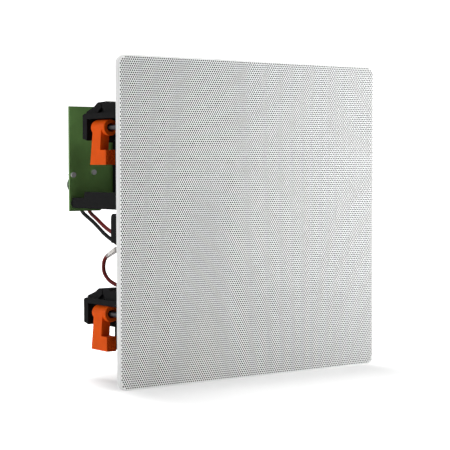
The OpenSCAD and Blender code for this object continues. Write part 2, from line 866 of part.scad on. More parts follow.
// Direction of a route at point i
function heading(route, i) = unit(route[min(i + 1, len(route) - 1)] - route[max(i - 1, 0)]);

// A ring of points round point i of a route
function ring(route, i, r, sides) = let (
    along = heading(route, i),
    over = unit(cross(along, [1, 0, 0])),
    out = cross(along, over)
) [for (k = [0:sides - 1]) route[i] + r * cos(360 * k / sides) * over + r * sin(360 * k / sides) * out];

module lead(route, sides = 8) {
    last = len(route) - 1;
    points = [for (i = [0:last]) each ring(route, i, lead_d / 2, sides)];
    walls = [
        for (i = [0:last - 1]) for (k = [0:sides - 1])
            [i * sides + k, i * sides + (k + 1) % sides, (i + 1) * sides + (k + 1) % sides, (i + 1) * sides + k]
    ];
    front = [for (k = [sides - 1:-1:0]) k];
    back = [for (k = [0:sides - 1]) last * sides + k];
    polyhedron(points, concat([front], walls, [back]));
}

module lead_black() {
    color([0.1, 0.1, 0.1]) lead(black_route);
}

module lead_red() {
    color([0.4, 0.08, 0.08]) lead(red_route);
}

module woofer_lead() {
    color([0.5, 0.1, 0.12]) lead(woofer_route);
}

// Clamps

bush_r = 3.2;
bush_l = 12;

knurl_pitch = 1.5;

// Crossed grooves over the foot's gripping face
module foot_knurl() {
    turns = ceil((foot_w + foot_h) / knurl_pitch / 2);
    translate([foot_w / 2 - barrel_r, barrel_y - foot_reach, foot_h / 2 - arm_l]) for (lean = [-45, 45]) {
        rotate([0, lean, 0]) for (k = [-turns:turns]) {
            translate([0, 0, k * knurl_pitch]) rotate([45, 0, 0]) cube([30, 0.8, 0.8], center = true);
        }
    }
}

// The dog-leg clamp, hanging from its screw as the left ones do when parked
module clamp() {
    back = barrel_y + barrel_l;
    foot_y = barrel_y - foot_reach;
    round_l = 4.5;
    round_w = 2;
    color([0.96, 0.47, 0.16]) difference() {
        union() {
            rotate([-90, 0, 0]) rotate_extrude($fn = 64) polygon(concat(
                [[0, barrel_y], [barrel_r - 0.4, barrel_y], [barrel_r, barrel_y + 0.4]],
                [for (a = [0:15:90]) [barrel_r - round_w * (1 - cos(a)), back - round_l * (1 - sin(a))]],
                [[0, back]]
            ));
            side_slab(-barrel_r, foot_w - 1) polygon([
                [barrel_y + 4, 0], [back - 4.4, 0], [back - 4.4, -4], [back - 1, -arm_l],
                [barrel_y + 6, -arm_l], [barrel_y + 5.5, -arm_l + foot_h]
            ]);
            side_slab(-barrel_r, foot_w) polygon([
                [foot_y, -arm_l], [back - 1, -arm_l], [back - 2.6, -arm_l + foot_h],
                [foot_y, -arm_l + foot_h]
            ]);
        }
        rod(bush_r + run_gap, barrel_y - 1, barrel_l + 2, 48);
        foot_knurl();
    }
}

module bush() {
    head_y = barrel_y + barrel_l + seat_gap;
    color([0.8, 0.65, 0.3]) difference() {
        union() {
            rod(bush_r, head_y - bush_l, bush_l + bush_head, 48);
            rod(bush_r + 0.6, head_y, bush_head, 48);
        }
        rod(screw_d / 2 + run_gap, head_y - bush_l - 1, bush_l + bush_head + 2, 40);
    }
}

module clamp_screw() {
    head_r = 3.5;
    head_h = 2.4;
    head_y = baffle_y - seat_gap;
    color([0.35, 0.35, 0.37]) difference() {
        union() {
            rod(screw_d / 2, head_y - 0.5, tower_depth - head_y - 1, 40);
            rod(head_r, head_y - head_h, head_h, 40);
        }
        translate([0, head_y - head_h, 0]) for (a = [0, 90]) {
            rotate([0, a, 0]) cube([4.4, 3, 0.9], center = true);
        }
    }
}

module clamp_upper_left() { at_clamp(-1, 1) clamp(); }
module clamp_lower_left() { at_clamp(-1, -1) clamp(); }
module clamp_upper_right() { at_clamp(1, 1) clamp(); }
module clamp_lower_right() { at_clamp(1, -1) clamp(); }
module bush_upper_left() { at_clamp(-1, 1) bush(); }
module bush_lower_left() { at_clamp(-1, -1) bush(); }
module bush_upper_right() { at_clamp(1, 1) bush(); }
module bush_lower_right() { at_clamp(1, -1) bush(); }
module screw_upper_left() { at_clamp(-1, 1) clamp_screw(); }
module screw_lower_left() { at_clamp(-1, -1) clamp_screw(); }
module screw_upper_right() { at_clamp(1, 1) clamp_screw(); }
module screw_lower_right() { at_clamp(1, -1) clamp_screw(); }

grille();
acoustic_cloth();
grille_magnets();
mounting_frame();
flange_gasket();
woofer_basket();
woofer_gasket();
woofer_screws();
surround();
cone();
voice_coil();
spider();
top_plate();
ferrite_magnet();
yoke();
tweeter_post();
tweeter_housing();
tweeter_dome();
tweeter_guard();
woofer_terminal();
crossover_bracket();
bracket_screws();
crossover_board();
board_screws();
large_inductor();
small_inductor();
capacitors();
resistors();
lead_header();
input_terminal();
terminal_tab();
lever_red();
lever_black();
spade_connector();
spade_sleeve();
lead_black();
lead_red();
woofer_lead();
clamp_upper_left();
clamp_lower_left();
clamp_upper_right();
clamp_lower_right();
bush_upper_left();
bush_lower_left();
bush_upper_right();
bush_lower_right();
screw_upper_left();
screw_lower_left();
screw_upper_right();
screw_lower_right();
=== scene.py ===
"""Looks of a square flush-mount ceiling speaker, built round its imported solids."""

from contextlib import contextmanager
from functools import cache
from math import copysign, cos, hypot, pi, radians, sin, sqrt

import bmesh
import bpy
from mathutils import Matrix, Vector
from mathutils.geometry import delaunay_2d_cdt


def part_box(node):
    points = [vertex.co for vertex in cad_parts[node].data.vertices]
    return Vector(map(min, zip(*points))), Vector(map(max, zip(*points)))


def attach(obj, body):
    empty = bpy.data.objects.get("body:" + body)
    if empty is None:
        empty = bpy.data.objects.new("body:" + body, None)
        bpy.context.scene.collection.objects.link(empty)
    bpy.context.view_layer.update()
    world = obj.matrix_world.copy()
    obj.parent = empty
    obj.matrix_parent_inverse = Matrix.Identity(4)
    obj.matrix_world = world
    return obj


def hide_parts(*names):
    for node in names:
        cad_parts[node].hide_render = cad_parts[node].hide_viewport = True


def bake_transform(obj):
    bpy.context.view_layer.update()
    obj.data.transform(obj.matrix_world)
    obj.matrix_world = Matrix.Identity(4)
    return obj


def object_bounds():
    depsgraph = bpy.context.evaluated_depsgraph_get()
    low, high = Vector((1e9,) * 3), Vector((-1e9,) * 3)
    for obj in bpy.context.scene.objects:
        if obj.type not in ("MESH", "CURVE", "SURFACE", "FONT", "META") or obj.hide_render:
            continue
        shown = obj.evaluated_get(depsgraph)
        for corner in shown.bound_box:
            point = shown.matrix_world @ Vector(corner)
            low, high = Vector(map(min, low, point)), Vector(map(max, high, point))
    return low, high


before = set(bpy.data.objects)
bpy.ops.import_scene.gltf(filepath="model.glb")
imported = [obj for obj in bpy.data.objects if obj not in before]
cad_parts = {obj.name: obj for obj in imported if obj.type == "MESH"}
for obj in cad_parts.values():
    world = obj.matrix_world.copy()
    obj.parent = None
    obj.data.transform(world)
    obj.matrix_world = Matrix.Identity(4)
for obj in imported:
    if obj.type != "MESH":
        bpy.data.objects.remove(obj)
SOLIDS_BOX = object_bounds()

bl_info = {
    "name": "Flush ceiling speaker",
    "version": (1, 0, 0),
    "blender": (4, 5, 0),
    "location": "3D View > Sidebar > Speaker",
    "description": "Builds the grille, clamps, driver, crossover and leads of a ceiling speaker",
    "category": "Object",
}

MM = 0.001
CORNERS = ("upper_left", "lower_left", "upper_right", "lower_right")

# Route of each lead, in millimetres
BLACK_ROUTE = (
    (-87.4, 95, 9.5), (-87.4, 95, 8.6), (-87.4, 94.3, 6.6), (-87.4, 92.9, 5), (-87.4, 91, 3.8),
    (-87.3, 86, 1.5), (-87.3, 79.5, -1.2), (-87.4, 73.2, -4.1), (-87.7, 67, -7), (-88, 60.8, -10),
    (-87.7, 54.5, -12.8), (-87.1, 48.2, -15.3), (-86.6, 42, -17.7), (-86.4, 36, -19.7),
    (-86.4, 31.5, -21), (-86.4, 28.6, -21.4), (-86.4, 25.9, -20.6), (-86.4, 24, -18.5),
    (-86.4, 23.4, -16.6), (-86.4, 23.4, -15.5),
)
RED_ROUTE = (
    (-81, 95, 9.5), (-81, 95, 8.7), (-81, 94.4, 6.7), (-81.1, 93, 5), (-81.3, 91, 3.8), (-81.8, 87.4, 2.4),
    (-82.5, 83.5, 1.3), (-83.3, 79.4, 0.1), (-84.2, 75, -1.2), (-85.1, 70.5, -2.6), (-86, 66, -4),
    (-86.8, 61.5, -5.3), (-87.5, 57, -6.6), (-88.1, 52.5, -7.8), (-88.4, 48, -8.9), (-88.5, 43.5, -9.7),
    (-88.5, 40, -10), (-88.5, 37, -10),
)
WOOFER_ROUTE = (
    (-93, 44.3, -24.1), (-93, 47.3, -25.4), (-93, 49.4, -26.4), (-93, 51.4, -28.2), (-93, 52.8, -30.8),
    (-93, 53.3, -33.8), (-93, 52.6, -37), (-92.9, 50.4, -40), (-92.7, 47, -42.5), (-92.3, 43, -44.3),
    (-91.7, 38.5, -45.7), (-90.7, 34, -46.6), (-89.2, 30, -47.2), (-87, 26.4, -47.6), (-84, 23.2, -47.9),
    (-80.5, 20.5, -48.1), (-76.5, 18.2, -48), (-72.2, 16.3, -47.6), (-67.8, 15.2, -46.6),
    (-63.7, 15.3, -44.9), (-60.5, 17.3, -42.6), (-58, 19.6, -40.6),
)

# Capacitors on the board's back, as (middle x, middle z, radius, length), in millimetres
CANS = ((-76.8, 65.7, 6.5, 28), (-76.8, 50.2, 6.5, 28), (-2.3, 61.7, 8, 30))
# Resistors, as (left x, low z), in millimetres
RESISTORS = ((-16.3, 19.7), (-16.3, 33.7))
# Tracks on the board's back, as (low x, low z, high x, high z), in millimetres
TRACKS = (
    (-91, 17.4, -20, 20), (-75, 17.4, -72.5, 41), (-60, 45.5, -57.5, 78), (-60, 75.5, -20, 78),
    (-20.5, 20, -18, 78), (-20.5, 47, 14, 49.5), (11.5, 20, 14, 49.5), (-97.5, 43, -95, 78), (-97.5, 75.5, -60, 78),
)


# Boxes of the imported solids, in mm

def ring_box(node):
    """Half the width, the front and the back of a solid round the speaker's middle."""
    low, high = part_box(node)
    return high.x / MM, low.y / MM, high.y / MM


def axis_box(node):
    """The middle's x and z, half the width, the front and the back of a solid."""
    low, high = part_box(node)
    return (low.x + high.x) / 2 / MM, (low.z + high.z) / 2 / MM, (high.x - low.x) / 2 / MM, low.y / MM, high.y / MM


# Meshes

def arc(middle, radii, degrees):
    """Points of an arc round a middle, one at each angle."""
    turns = [radians(angle) for angle in degrees]
    return [(middle[0] + radii[0] * cos(a), middle[1] + radii[1] * sin(a)) for a in turns]


def add_object(name, data):
    """A new object in the scene."""
    obj = bpy.data.objects.new(name, data)
    bpy.context.scene.collection.objects.link(obj)
    return obj


def add_mesh(name, points, faces):
    """A new mesh object, with its place in its points, which are in mm."""
    mesh = bpy.data.meshes.new(name)
    mesh.from_pydata([[MM * value for value in point] for point in points], [], faces)
    mesh.validate()
    return add_object(name, mesh)


@contextmanager
def editing(obj):
    """Opens a piece's mesh, and writes it back when the work on it is done."""
    bm = bmesh.new()
    bm.from_mesh(obj.data)
    yield bm
    bm.to_mesh(obj.data)
    bm.free()


def soften(obj, degrees=32):
    """Smooth shading, with edges over that angle kept sharp."""
    with editing(obj) as bm:
        for face in bm.faces:
            face.smooth = True
        for edge in bm.edges:
            edge.smooth = len(edge.link_faces) == 2 and edge.calc_face_angle(0) < radians(degrees)
    return obj


def bake(obj):
    """Turns a piece with its modifiers into a plain mesh."""
    graph = bpy.context.evaluated_depsgraph_get()
    mesh = bpy.data.meshes.new_from_object(obj.evaluated_get(graph), depsgraph=graph)
    obj.modifiers.clear()
    obj.data = mesh
    return obj


def outward(obj):
    """Turns every face of a closed piece outwards."""
    with editing(obj) as bm:
        bmesh.ops.recalc_face_normals(bm, faces=bm.faces)
    return obj


def bridge_loops(loops, closed):
    """Faces between loops of as many points each."""
    n = len(loops[0])
    pairs = len(loops) if closed else len(loops) - 1
    faces = []
    for j in range(pairs):
        a, b = j * n, (j + 1) % len(loops) * n
        for i in range(n):
            k = (i + 1) % n
            faces.append((a + i, a + k, b + k, b + i))
    return [p for loop in loops for p in loop], faces


def turned(name, profile, centre=(0, 0), segments=64, about="Y", base=0.0):
    """A closed profile of (radius, distance along the axis), in mm, turned round an axis.

    About Y the centre is (x, z), and about X it is (y, z)."""
    loops = []
    for s in range(segments):
        a = 2 * pi * s / segments
        ring = []
        for radius, along in profile:
            u, v = centre[0] + radius * cos(a), centre[1] + radius * sin(a)
            ring.append((u, base + along, v) if about == "Y" else (base + along, u, v))
        loops.append(ring)
    obj = add_mesh(name, *bridge_loops(loops, True))
    with editing(obj) as bm:
        bmesh.ops.remove_doubles(bm, verts=bm.verts, dist=1e-7)
        bmesh.ops.dissolve_degenerate(bm, edges=bm.edges, dist=1e-7)
        bmesh.ops.recalc_face_normals(bm, faces=bm.faces)
    return obj


def rounded_box(name, low, high, radius, segments=3):
    """A box with rounded edges, in mm."""
    points = [(x, y, z) for x in (low[0], high[0]) for y in (low[1], high[1]) for z in (low[2], high[2])]
    faces = [(0, 1, 3, 2), (4, 6, 7, 5), (0, 4, 5, 1), (2, 3, 7, 6), (0, 2, 6, 4), (1, 5, 7, 3)]
    obj = add_mesh(name, points, faces)
    with editing(obj) as bm:
        bmesh.ops.bevel(bm, geom=bm.edges[:], offset=radius * MM, segments=segments, affect="EDGES", profile=0.5)
        bmesh.ops.recalc_face_normals(bm, faces=bm.faces)
    return soften(obj)


def join(name, parts):
    """Joins pieces into one, before it gets its finish."""
    bm = bmesh.new()
    for part in parts:
        bm.from_mesh(part.data)
        bpy.data.objects.remove(part)
    mesh = bpy.data.meshes.new(name)
    bm.to_mesh(mesh)
    bm.free()
    return add_object(name, mesh)


# Node trees

def add_node(tree, kind, inputs=(), **settings):
    """A new node with its settings, and each input set to a value or linked to a socket."""
    node = tree.nodes.new(kind)
    for name, value in settings.items():
        setattr(node, name, value)
    for key, value in dict(inputs).items():
        if isinstance(value, bpy.types.NodeSocket):
            tree.links.new(value, node.inputs[key])
        else:
            node.inputs[key].default_value = value
    return node


def calc(tree, operation, a, b):
    """A math node's output; a and b are sockets or numbers."""
    return add_node(tree, "ShaderNodeMath", {0: a, 1: b}, operation=operation).outputs[0]


def seen_rays(tree):
    """One for rays from the camera, a reflection or a clear part, and nothing for the rest."""
    rays = add_node(tree, "ShaderNodeLightPath").outputs
    seen = calc(tree, "MAXIMUM", rays["Is Camera Ray"], rays["Is Glossy Ray"])
    return calc(tree, "MAXIMUM", seen, rays["Is Transmission Ray"])


# Materials

def add_noise(tree, place, size, detail):
    """A noise pattern with blotches of that size in mm."""
    settings = {"Vector": place, "Scale": 1 / (size * MM), "Detail": detail}
    return add_node(tree, "ShaderNodeTexNoise", settings).outputs["Fac"]


def add_bump(tree, height, depth):
    """The normal of a bump of that depth in mm over a height pattern."""
    settings = {"Strength": 1, "Distance": depth * MM, "Height": height}
    return add_node(tree, "ShaderNodeBump", settings).outputs["Normal"]


def add_ramp(tree, pattern, colour, darkest, lightest, ends=(0, 1)):
    """The colour between two shares of itself, over a pattern."""
    ramp = add_node(tree, "ShaderNodeValToRGB", {"Fac": pattern})
    for element, share, end in zip(ramp.color_ramp.elements, (darkest, lightest), ends):
        element.position = end
        element.color = (*[min(1, c * share) for c in colour], 1)
    return ramp.outputs["Color"]


def finish(name, colour, rough=0.5, metal=0.0, coat=0.0, sheen=0.0, grain=(), mottle=(), weave=(),
           alpha=1.0, gloss=0.5):
    """A finish on Object coordinates, with a grain and a mottle, or with a weave.

    grain is (size in mm, bump height in mm), mottle is (size in mm, share), and weave is (pitch in mm,
    bump height in mm, share of darkening)."""
    material = bpy.data.materials.new(name)
    material.use_nodes = True
    tree = material.node_tree
    shader = tree.nodes["Principled BSDF"].inputs
    for label, value in (
        ("Base Color", (*colour, 1)), ("Roughness", rough), ("Metallic", metal), ("Coat Weight", coat),
        ("Sheen Weight", sheen), ("Specular IOR Level", gloss), ("Alpha", alpha),
    ):
        shader[label].default_value = value
    place = add_node(tree, "ShaderNodeTexCoord").outputs["Object"]
    if mottle:
        size, share = mottle
        wear = 0.08
        patches = add_noise(tree, place, size, 4)
        tree.links.new(add_ramp(tree, patches, colour, 1 - share, 1 + share, (0.3, 0.7)), shader["Base Color"])
        worn = add_node(tree, "ShaderNodeMapRange", {
            "Value": patches, "To Min": max(0.02, rough - wear), "To Max": min(1, rough + wear),
        })
        tree.links.new(worn.outputs["Result"], shader["Roughness"])
    if weave:
        pitch, depth, share = weave
        waves = [
            add_node(tree, "ShaderNodeTexWave", {"Vector": place, "Scale": pi / (10 * pitch * MM)},
                     bands_direction=direction).outputs["Fac"]
            for direction in ("X", "Z")
        ]
        cross = calc(tree, "MULTIPLY", *waves)
        tree.links.new(add_bump(tree, cross, depth), shader["Normal"])
        tree.links.new(add_ramp(tree, cross, colour, 1 - share, 1), shader["Base Color"])
    if grain:
        size, depth = grain
        tree.links.new(add_bump(tree, add_noise(tree, place, size, 2), depth), shader["Normal"])
    return material


@cache
def finishes():
    """Every finish of the speaker by name, made once."""
    c = bpy.context.scene.speaker_colours
    lever = dict(rough=0.3, coat=0.3, grain=(0.6, 0.01), mottle=(5, 0.1))
    return dict(
        powder=finish("white_powder_coat", c.grille, 0.42, coat=0.1, grain=(0.5, 0.006), mottle=(30, 0.015)),
        cloth=finish("acoustic_cloth", (0.003, 0.003, 0.0035), 0.95, sheen=0.02, gloss=0.1, weave=(0.5, 0.12, 0.5)),
        moulding=finish("black_moulding", c.moulding, 0.75, gloss=0.05, grain=(0.4, 0.02), mottle=(12, 0.18)),
        foam=finish("grey_foam", (0.045, 0.045, 0.05), 0.95, sheen=0.2, grain=(0.5, 0.2), mottle=(2, 0.3)),
        basket=finish("black_basket_paint", (0.018, 0.018, 0.02), 0.35, grain=(0.8, 0.02), mottle=(15, 0.2)),
        fibre=finish("fibre_ring", (0.03, 0.028, 0.026), 0.9, grain=(0.6, 0.1), mottle=(1.5, 0.4)),
        zinc=finish("zinc_plate", (0.84, 0.85, 0.87), 0.22, 0.45, grain=(0.3, 0.01), mottle=(2, 0.1)),
        plate=finish("bright_plate", (0.5, 0.51, 0.53), 0.32, 1.0, grain=(0.3, 0.008), mottle=(16, 0.05)),
        nickel=finish("nickel_plate", (0.72, 0.72, 0.73), 0.15, 1.0, grain=(0.8, 0.005), mottle=(3, 0.05)),
        rubber=finish("butyl_rubber", (0.012, 0.012, 0.013), 0.55, sheen=0.15, grain=(0.4, 0.02), mottle=(6, 0.2)),
        cone=finish("woven_cone", c.cone, 0.38, coat=0.3, weave=(1.6, 0.25, 0.55)),
        track=finish("masked_track", [min(1, 1.35 * v) for v in c.board], 0.35, coat=0.1, gloss=0.3,
                     grain=(1.2, 0.02), mottle=(9, 0.1)),
        enamel=finish("copper_enamel", (0.55, 0.23, 0.07), 0.25, 0.85, coat=0.5,
                    grain=(0.6, 0.02), mottle=(3, 0.15)),
        resin_cloth=finish("resin_cloth", (0.48, 0.3, 0.09), 0.8, weave=(0.7, 0.15, 0.45)),
        ferrite=finish("ferrite", (0.045, 0.045, 0.048), 0.62, grain=(0.7, 0.06), mottle=(4, 0.3)),
        dome=finish("dome_metal", (0.66, 0.67, 0.69), 0.22, 1.0, grain=(0.4, 0.006), mottle=(6, 0.06)),
        fibre_board=finish("fibre_board", (0.2, 0.11, 0.045), 0.7, grain=(0.5, 0.05), mottle=(2, 0.25)),
        board=finish("solder_mask", c.board, 0.4, coat=0.1, gloss=0.25, grain=(1.2, 0.02), mottle=(18, 0.12)),
        green_coil=finish("varnished_coil", (0.16, 0.21, 0.17), 0.4, coat=0.4, grain=(0.5, 0.05), mottle=(3, 0.2)),
        can=finish("can_film", (0.016, 0.03, 0.13), 0.22, coat=0.5, grain=(2.5, 0.05), mottle=(8, 0.15)),
        cement=finish("cement", (0.72, 0.69, 0.6), 0.85, grain=(0.5, 0.12), mottle=(3, 0.1)),
        nylon=finish("nylon_header", (0.72, 0.69, 0.58), 0.45, grain=(0.5, 0.02), mottle=(4, 0.06)),
        tin=finish("tinned_steel", (0.68, 0.67, 0.64), 0.3, 1.0, grain=(0.6, 0.03), mottle=(2, 0.12)),
        red_lever=finish("red_lever_moulding", (0.42, 0.015, 0.015), **lever),
        black_lever=finish("black_lever_moulding", (0.015, 0.015, 0.016), **lever),
        sleeve=finish("clear_sleeve", (0.42, 0.38, 0.37), 0.12, alpha=0.42, gloss=0.8,
                    grain=(1.5, 0.05), mottle=(4, 0.1)),
        black_lead=finish("black_lead", (0.005, 0.006, 0.006), 0.6, gloss=0.1, grain=(0.8, 0.02), mottle=(4, 0.15)),
        red_lead=finish("red_lead", c.lead, 0.55, gloss=0.1, grain=(0.8, 0.02), mottle=(5, 0.15)),
        clamp=finish("orange_moulding", c.clamp, 0.6, gloss=0.06, grain=(0.35, 0.015), mottle=(9, 0.06)),
        brass=finish("turned_brass", (0.68, 0.48, 0.2), 0.25, 1.0, grain=(0.3, 0.01), mottle=(2, 0.1)),
        dark_screw=finish("dark_zinc", (0.045, 0.045, 0.048), 0.45, 0.7, grain=(0.4, 0.02), mottle=(2, 0.2)),
    )


def dress(key, *names):
    """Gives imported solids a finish."""
    for name in names:
        paint(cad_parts[name], key)


def paint(obj, key):
    """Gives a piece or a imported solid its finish."""
    obj.data.materials.clear()
    obj.data.materials.append(finishes()[key])


def settle(obj, body, key, node=None):
    """Gives a finished piece its finish and its body, and hides the solid it stands for."""
    paint(obj, key)
    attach(obj, body)
    if node:
        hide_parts(node)


# Repeats

def new_tree(name, inputs):
    """A geometry tree with a Shape and a Finish and these inputs, as (name, kind)."""
    tree = bpy.data.node_groups.new(name, "GeometryNodeTree")
    sockets = tree.interface
    sockets.new_socket("Shape", in_out="INPUT", socket_type="NodeSocketGeometry")
    for label, kind in inputs:
        sockets.new_socket(label, in_out="INPUT", socket_type="NodeSocket" + kind)
    sockets.new_socket("Finish", in_out="INPUT", socket_type="NodeSocketMaterial")
    sockets.new_socket("Result", in_out="OUTPUT", socket_type="NodeSocketGeometry")
    return tree, tree.nodes.new("NodeGroupInput").outputs


def close_tree(tree, points, given):
    """Puts the shape on each point, and ends the tree in plain geometry with its finish."""
    copies = add_node(tree, "GeometryNodeInstanceOnPoints", {"Points": points, "Instance": given["Shape"]})
    real = add_node(tree, "GeometryNodeRealizeInstances", {"Geometry": copies.outputs["Instances"]})
    given_finish = {"Geometry": real.outputs["Geometry"], "Material": given["Finish"]}
    finished = add_node(tree, "GeometryNodeSetMaterial", given_finish)
    add_node(tree, "NodeGroupOutput", {"Result": finished.outputs["Geometry"]})
    return tree


def staggered_tree():
    """Rows of a cell in X and Z, every second row half a pitch across and one cell shorter, without the corners."""
    tree, given = new_tree("staggered_rows", (
        ("Columns", "Int"), ("Rows", "Int"), ("Pitch", "Float"), ("Row step", "Float"), ("First height", "Float"),
        ("Corner across", "Float"), ("Corner up", "Float"),
    ))
    columns = given["Columns"]
    index = add_node(tree, "GeometryNodeInputIndex").outputs[0]
    column = calc(tree, "MODULO", index, columns)
    row = calc(tree, "FLOOR", calc(tree, "DIVIDE", index, columns), 0)
    odd = calc(tree, "MODULO", row, 2)
    last = calc(tree, "SUBTRACT", columns, 1)
    across = calc(tree, "SUBTRACT", column, calc(tree, "MULTIPLY", last, 0.5))
    across = calc(tree, "ADD", across, calc(tree, "MULTIPLY", odd, 0.5))
    across = calc(tree, "MULTIPLY", across, given["Pitch"])
    height = calc(tree, "ADD", calc(tree, "MULTIPLY", row, given["Row step"]), given["First height"])
    points = add_node(tree, "GeometryNodePoints", {
        "Count": calc(tree, "MULTIPLY", columns, given["Rows"]),
        "Position": add_node(tree, "ShaderNodeCombineXYZ", {"X": across, "Z": height}).outputs[0],
    })
    wide = calc(tree, "GREATER_THAN", calc(tree, "ABSOLUTE", across, 0), given["Corner across"])
    high = calc(tree, "GREATER_THAN", calc(tree, "ABSOLUTE", height, 0), given["Corner up"])
    extra = calc(tree, "MULTIPLY", odd, calc(tree, "COMPARE", column, last))
    spare = calc(tree, "MAXIMUM", extra, calc(tree, "MULTIPLY", wide, high))
    kept = add_node(tree, "GeometryNodeDeleteGeometry", {"Geometry": points.outputs[0], "Selection": spare})
    return close_tree(tree, kept.outputs[0], given)


def line_tree():
    """Copies of a shape at even steps along a line."""
    tree, given = new_tree("evenly_along", (("Count", "Int"), ("Start", "Vector"), ("Step", "Vector")))
    index = add_node(tree, "GeometryNodeInputIndex").outputs[0]
    terms = {0: index, 1: given["Step"], 2: given["Start"]}
    far = add_node(tree, "ShaderNodeVectorMath", terms, operation="MULTIPLY_ADD")
    points = add_node(tree, "GeometryNodePoints", {"Count": given["Count"], "Position": far.outputs[0]})
    return close_tree(tree, points.outputs[0], given)


def repeat(obj, tree, **values):
    """Runs a tree on a shape, with its inputs by name, and turns the result into a plain mesh."""
    modifier = obj.modifiers.new("repeat", "NODES")
    modifier.node_group = tree
    for item in tree.interface.items_tree:
        key = item.name.replace(" ", "_").lower()
        if item.in_out == "INPUT" and key in values:
            modifier[item.identifier] = values[key]
    return bake(obj)


def repeat_along(obj, count, start, step, key):
    """Copies of a shape along a line, from one point by even steps, both in mm."""
    return repeat(obj, line_tree(), count=count, start=Vector(start) * MM, step=Vector(step) * MM,
                  finish=finishes()[key])


# Grille

HOLE_SIDES = 8
PANELS = 4
# Rows of holes that end at a round corner
CORNER_ROWS = 4


def rounded_loop(half, radius, y, steps=8):
    """A closed loop of points round a square with round corners, in mm."""
    middle = half - radius
    loop = []
    for sx, sz, start in ((1, 1, 0), (-1, 1, 90), (-1, -1, 180), (1, -1, 270)):
        angles = [start + 90 * k / steps for k in range(steps + 1)]
        loop += [(x, y, z) for x, z in arc((sx * middle, sz * middle), (radius, radius), angles)]
    return loop


def hole_ring(x, z, hole_r):
    """Points round one hole, with flat sides towards its cell's sides."""
    return arc((x, z), (hole_r, hole_r), [360 * (k + 0.5) / HOLE_SIDES - 180 for k in range(HOLE_SIDES)])


class Piercing:
    """Layout of the holes in the grille's sheet, in mm."""

    def __init__(self, size, half, front):
        self.front = front
        self.wall = size.hole_wall / MM
        self.pitch = size.hole_pitch / MM
        self.row_step = self.pitch * sqrt(3) / 2
        self.hole_r = size.hole_d / MM / 2
        self.flat = half - size.fold_r / MM
        self.corner_r = (size.corner_r - size.fold_r) / MM
        # Whole pairs of columns and, in each panel, whole pairs of rows
        self.columns = 2 * int(self.flat / self.pitch)
        self.panel_rows = 2 * int(self.flat / self.row_step / PANELS)
        self.rows = PANELS * self.panel_rows
        self.half_x = self.columns * self.pitch / 2
        self.half_z = self.rows * self.row_step / 2
        # A cell past both of these belongs to a round corner
        self.drop_x = self.half_x - 3 * self.pitch
        self.drop_z = self.half_z - CORNER_ROWS * self.row_step

    def row_foot(self, row):
        """Height of a row's lower edge."""
        return -self.half_z + row * self.row_step

    def corner_rows(self, end):
        """A corner's rows from the middle outwards, as (start in X, whether the row is shifted)."""
        shifted = [(k if end > 0 else CORNER_ROWS - 1 - k) % 2 == 1 for k in range(CORNER_ROWS)]
        return [(self.drop_x - self.pitch / 2 if odd else self.drop_x, odd) for odd in shifted]


def pierced_cell(name, lay):
    """One rectangle of sheet with a hole through it."""
    x, z = lay.pitch / 2, lay.row_step / 2
    corners = [(-x, -z), (x, -z), (x, z), (-x, z)]
    hole = hole_ring(0, 0, lay.hole_r)
    points = [(x, lay.front, z) for x, z in corners + hole]
    points += [(x, lay.front + lay.wall, z) for x, z in hole]
    faces = []
    for c in range(4):
        first, second, third = (4 + (2 * c + k) % HOLE_SIDES for k in range(3))
        faces.append((c, second, first))
        faces.append((c, (c + 1) % 4, third, second))
    for k in range(HOLE_SIDES):
        j = (k + 1) % HOLE_SIDES
        faces.append((4 + k, 4 + j, 4 + HOLE_SIDES + j, 4 + HOLE_SIDES + k))
    return add_mesh(name, points, faces)


def inside_loop(x, z, loop):
    """Whether a point lies inside a flat loop."""
    crossings = 0
    for (x0, z0), (x1, z1) in zip(loop, loop[1:] + loop[:1]):
        if (z0 > z) != (z1 > z) and x < x0 + (x1 - x0) * (z - z0) / (z1 - z0):
            crossings += 1
    return crossings % 2 == 1


def pierced_corner(outline, holes, front, wall):
    """Points and faces of a flat patch of sheet with holes through it."""
    flat = list(outline)
    edges = [(i, (i + 1) % len(outline)) for i in range(len(outline))]
    for hole in holes:
        base = len(flat)
        flat += hole
        edges += [(base + i, base + (i + 1) % len(hole)) for i in range(len(hole))]
    spots, _, cells, *_ = delaunay_2d_cdt([Vector(p) for p in flat], edges, [], 0, 1e-6)
    faces = []
    for cell in cells:
        x = sum(spots[i].x for i in cell) / len(cell)
        z = sum(spots[i].y for i in cell) / len(cell)
        if inside_loop(x, z, outline) and not any(inside_loop(x, z, hole) for hole in holes):
            ahead = (spots[cell[1]] - spots[cell[0]]).cross(spots[cell[2]] - spots[cell[0]]) > 0
            faces.append(tuple(cell) if ahead else tuple(cell)[::-1])
    points = [(p.x, front, p.y) for p in spots]
    for hole in holes:
        base, n = len(points), len(hole)
        points += [(x, y, z) for y in (front, front + wall) for x, z in hole]
        faces += [(base + k, base + (k + 1) % n, base + n + (k + 1) % n, base + n + k) for k in range(n)]
    return points, faces


